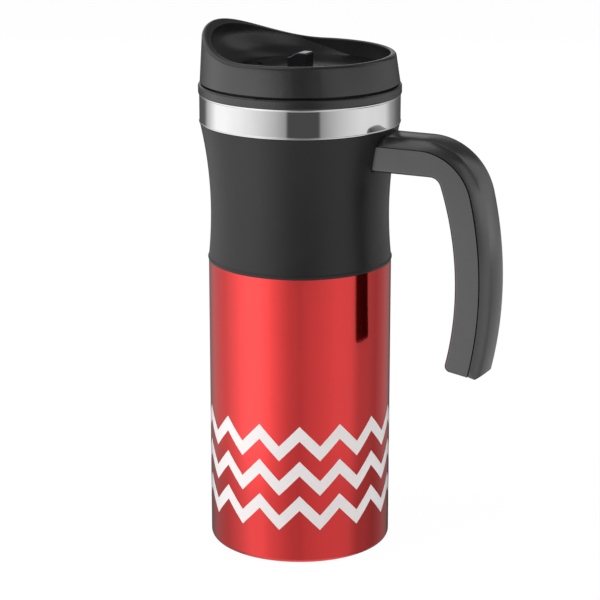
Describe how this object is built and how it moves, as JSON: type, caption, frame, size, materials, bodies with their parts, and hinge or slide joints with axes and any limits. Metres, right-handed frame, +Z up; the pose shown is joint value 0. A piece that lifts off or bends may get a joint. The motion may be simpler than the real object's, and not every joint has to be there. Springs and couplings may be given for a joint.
{
  "type": "insulated travel mug",
  "caption": "Tall insulated drinking mug with a red metal shell, black waisted grip, polished band, open side handle and a push-in lid with a sliding closure.",
  "frame": {"origin": "centre of the foot pad's underside, where the mug stands", "axes": "+Z up along the mug's axis, +X from the axis towards the handle, the drinking spout is towards -X"},
  "size_m": [0.125, 0.0802, 0.2108],
  "materials": {
    "red_lacquer": "glossy metallic red lacquer",
    "liner_steel": "satin stainless steel",
    "polished_steel": "mirror-polished stainless steel",
    "screw_steel": "plain steel",
    "black_plastic": "fine-grained soft-touch black",
    "gloss_black": "glossy black",
    "grip_rubber": "matte black rubber",
    "black_rubber": "matte black rubber",
    "silicone": "pale grey silicone",
    "foam": "cream rigid foam"
  },
  "bodies": {
    "mug": {"outer_shell": "red_lacquer", "base_plate": "liner_steel", "foot_pad": "black_rubber", "foam_jacket": "foam", "inner_liner": "liner_steel", "steel_band": "polished_steel", "collar_core": "black_plastic", "grip_sleeve": "grip_rubber", "mouth_ring": "black_plastic", "collar_seal": "black_rubber", "liner_seal": "silicone", "handle_frame": "black_plastic", "handle_cover": "black_plastic", "handle_screws": "screw_steel"},
    "lid": {"lid_cover": "black_plastic", "lid_plug": "black_plastic", "lid_gasket": "silicone"},
    "slider": {"slide_tab": "gloss_black", "shutter": "black_plastic", "shutter_seal": "silicone"}
  },
  "joints": [
    {"name": "lid_lift", "type": "slide", "parent": "mug", "child": "lid", "axis": [0, 0, 1], "range_m": [0, 0.06]},
    {"name": "tab_slide", "type": "slide", "parent": "lid", "child": "slider", "axis": [1, 0, 0], "range_m": [0, 0.012]}
  ]
}
